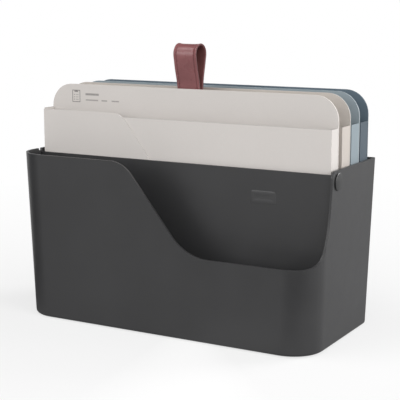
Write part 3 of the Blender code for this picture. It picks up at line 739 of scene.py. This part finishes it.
def build_badge(material):
    """Soft-edged bare plate with a shallow field, let into the divider."""
    centre, low, high = middle("badge_plate")
    face_y = high.y - (high.y - low.y) * BADGE_LET_IN
    half_x, half_z = (high.x - low.x) / 2, (high.z - low.z) / 2
    bm = bmesh.new()
    rows = []
    levels = [(0.0, high.y), (0.0, face_y - BADGE_LIFT), (-BADGE_FLANGE, face_y - BADGE_LIFT)]
    levels += [(inset * MM - BADGE_FLANGE, face_y - rise * MM) for inset, rise in BADGE_STEPS]
    for inset, y in levels:
        corner = max(BADGE_CORNER_R - inset, BADGE_LEAST_CORNER_R)
        ring = rounded_rectangle(half_x - inset, half_z - inset, corner)
        rows.append([bm.verts.new((centre.x + x, y, centre.z + z)) for x, z in ring])
    count = len(rows[0])
    for first, second in zip(rows, rows[1:]):
        for step in range(count):
            after = (step + 1) % count
            bm.faces.new((first[step], first[after], second[after], second[step]))
    bm.faces.new(rows[0])
    bm.faces.new(rows[-1][::-1])
    badge = finished_piece("bare_badge", bm, BADGE_SHARP_ANGLE, material)
    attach(badge, "tub")
    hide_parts("badge_plate")


def from_angles(azimuth, elevation):
    """Unit vector towards a direction in degrees; azimuth 0 is the front, 90 is +X."""
    turn, lift = math.radians(azimuth), math.radians(elevation)
    flat = math.cos(lift)
    return Vector((math.sin(turn) * flat, -math.cos(turn) * flat, math.sin(lift)))


def aimed(name, data, azimuth, elevation, distance):
    """Camera or lamp that faces the caddy from a direction in degrees."""
    item = bpy.data.objects.new(name, data)
    back = from_angles(azimuth, elevation)
    item.location = VIEW_TARGET + back * distance
    item.rotation_mode = "QUATERNION"
    item.rotation_quaternion = (-back).to_track_quat("-Z", "Y")
    bpy.context.scene.collection.objects.link(item)
    return item


def build_camera():
    """Camera at the photograph's angle."""
    data = bpy.data.cameras.new("camera")
    data.sensor_width = SENSOR_WIDTH
    data.lens = VIEW_FOCAL_PIXELS / PICTURE_PIXELS * SENSOR_WIDTH
    camera = aimed("camera", data, VIEW_AZIMUTH, VIEW_ELEVATION, VIEW_DISTANCE)
    bpy.context.scene.camera = camera


def build_lamps():
    """Square softboxes that face the caddy."""
    for name, azimuth, elevation, power in LAMPS:
        data = bpy.data.lights.new(name, "AREA")
        data.shape = "SQUARE"
        data.size = LAMP_SIZE
        data.energy = power
        aimed(name, data, azimuth, elevation, LAMP_DISTANCE)


def room_level(made, towards):
    """How bright the room is in a direction: (level for diffuse rays, level for gloss)."""
    levels = []
    for glows in (ROOM_LIGHT, ROOM_SHEEN):
        total = 0.0
        for centre, strength, spread, place in glows:
            match = made.vector("DOT_PRODUCT", towards(place), from_angles(*centre))
            total = made.maths("MULTIPLY_ADD", made.smooth_span(match, *spread), strength, total)
        levels.append(total)
    return levels


def mixed_level(made, towards):
    """Room level for the kind of ray, white for direct ones, then the kinds themselves."""
    ray = made.node("ShaderNodeLightPath").outputs
    direct = made.maths("MAXIMUM", ray["Is Camera Ray"], ray["Is Transmission Ray"])
    light, sheen = room_level(made, towards)
    gloss = ray["Is Glossy Ray"]
    room = made.maths("MULTIPLY_ADD", gloss, made.maths("SUBTRACT", sheen, light), light)
    return made.maths("MAXIMUM", direct, room), direct, gloss


def build_world():
    """White backdrop for the camera, and the room's glows for the other rays."""
    world = bpy.data.worlds.new("studio")
    world.use_nodes = True
    bpy.context.scene.world = world
    made = Nodes(world.node_tree)
    shown = world.node_tree.nodes["Background"]
    shown.inputs["Color"].default_value = WHITE
    made.feed(shown.inputs["Strength"], mixed_level(made, lambda place: made.direction)[0])


def build_floor():
    """Pale floor that turns white away from the caddy and keeps its shadow."""
    bm = bmesh.new()
    bmesh.ops.create_circle(bm, cap_ends=True, segments=FLOOR_SEGMENTS, radius=FLOOR_RADIUS)
    mesh = bpy.data.meshes.new("floor")
    bm.to_mesh(mesh)
    bm.free()
    floor = bpy.data.objects.new("floor", mesh)
    bpy.context.scene.collection.objects.link(floor)
    made = Surface("floor", 0.9, specular=0.0)

    def towards(place):
        """Direction along the floor as seen from a place on it."""
        away = made.vector("SUBTRACT", made.place, Vector((*place, 0)) * MM)
        return made.vector("NORMALIZE", away)

    level, direct, gloss = mixed_level(made, towards)
    mottle = made.patches(3.0)
    pale, dimmed = (made.blend(mottle, linear(*tone), scaled(linear(*tone), 1.02))
                    for tone in (FLOOR_SHOWN, FLOOR_BOUNCE))
    made.colour(made.blend(direct, dimmed, pale))
    fade = made.span(made.vector("LENGTH", made.place), *FLOOR_FADE, FLOOR_NEAR_SHARE, 1.0)
    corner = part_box("tub")[1]
    beyond = made.vector("ABSOLUTE", made.place)
    beyond = made.vector("SUBTRACT", beyond, Vector((corner.x, corner.y, 0)))
    beyond = made.vector("LENGTH", made.vector("MAXIMUM", beyond, Vector()))
    contact = made.span(beyond, 0.0, FLOOR_CONTACT_REACH, FLOOR_CONTACT_SHARE, 1.0)
    share = made.maths("MAXIMUM", made.maths("MULTIPLY", direct, fade),
                       made.maths("MULTIPLY", gloss, contact))
    glow = made.node("ShaderNodeEmission", None, Color=WHITE, Strength=level)
    mixed = made.node("ShaderNodeMixShader", None, i0=share,
                      i1=made.shader.outputs[0], i2=glow.outputs[0])
    target = next(item for item in made.tree.nodes if item.type == "OUTPUT_MATERIAL")
    made.tree.links.new(mixed.outputs[0], target.inputs["Surface"])
    mesh.materials.append(made.material)


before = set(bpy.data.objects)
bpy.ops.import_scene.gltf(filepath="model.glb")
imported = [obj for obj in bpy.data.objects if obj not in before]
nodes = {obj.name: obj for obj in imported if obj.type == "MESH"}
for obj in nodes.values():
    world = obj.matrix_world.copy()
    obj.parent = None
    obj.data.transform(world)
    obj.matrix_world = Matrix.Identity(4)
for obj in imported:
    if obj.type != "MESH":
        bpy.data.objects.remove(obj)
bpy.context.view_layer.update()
SMOOTH_GROUP = edge_angle_group()

bpy.context.scene.view_settings.view_transform = "Standard"
build_camera()
build_world()
build_floor()
build_lamps()

charcoal = plastic("charcoal_moulding", linear(*CHARCOAL), 0.4)
stud = plastic("satin_stud", linear(*STUD_COLOUR), 0.3, specular=1.0)
badge = plastic("satin_badge", linear(*BADGE_COLOUR), 0.42)
foot = rubber("soft_foot", linear(*RUBBER_COLOUR))
brass = aged_brass("aged_brass", linear(*BRASS_COLOUR))
hide = leather("burgundy_hide", linear(*LEATHER_COLOUR))
flesh_and_shade = suede("burgundy_flesh_side_painted_shade", linear(*FLESH_SIDE_AND_SHADE_COLOUR))

for name in ("tub", "divider"):
    finish_node(name, charcoal, TUB_ROUND, TUB_ROUND_SEGMENTS)
build_badge(badge)
for side, word in ((1, "right"), (-1, "left")):
    build_stud(side, word, stud)
for word in ("front_right", "front_left", "back_right", "back_left"):
    build_foot(word, foot)
for word in ("lower", "upper"):
    build_rivet(word, brass)
for number, colours in enumerate(CARD_COLOURS, start=1):
    wall_colour, board_colour, core_and_painted_edge = (linear(*colour) for colour in colours)
    wall = card(f"folder_{number}_card", wall_colour, scaled(wall_colour, POCKET_EDGE_PAINTED_SHADE))
    board = card(f"folder_{number}_board_card", board_colour, core_and_painted_edge, print_on=number == 1)
    finish_node(f"folder_{number}_pocket", wall, CARD_ROUND)
    finish_node(f"folder_{number}_board", board, BOARD_ROUND)
    if number == 1:
        sheet = card("folder_1_sheet_card", wall_colour, scaled(wall_colour, SHEET_EDGE_PAINTED_SHADE))
        finish_node("folder_1_front_sheet", sheet, CARD_ROUND)
build_strap(hide, flesh_and_shade)
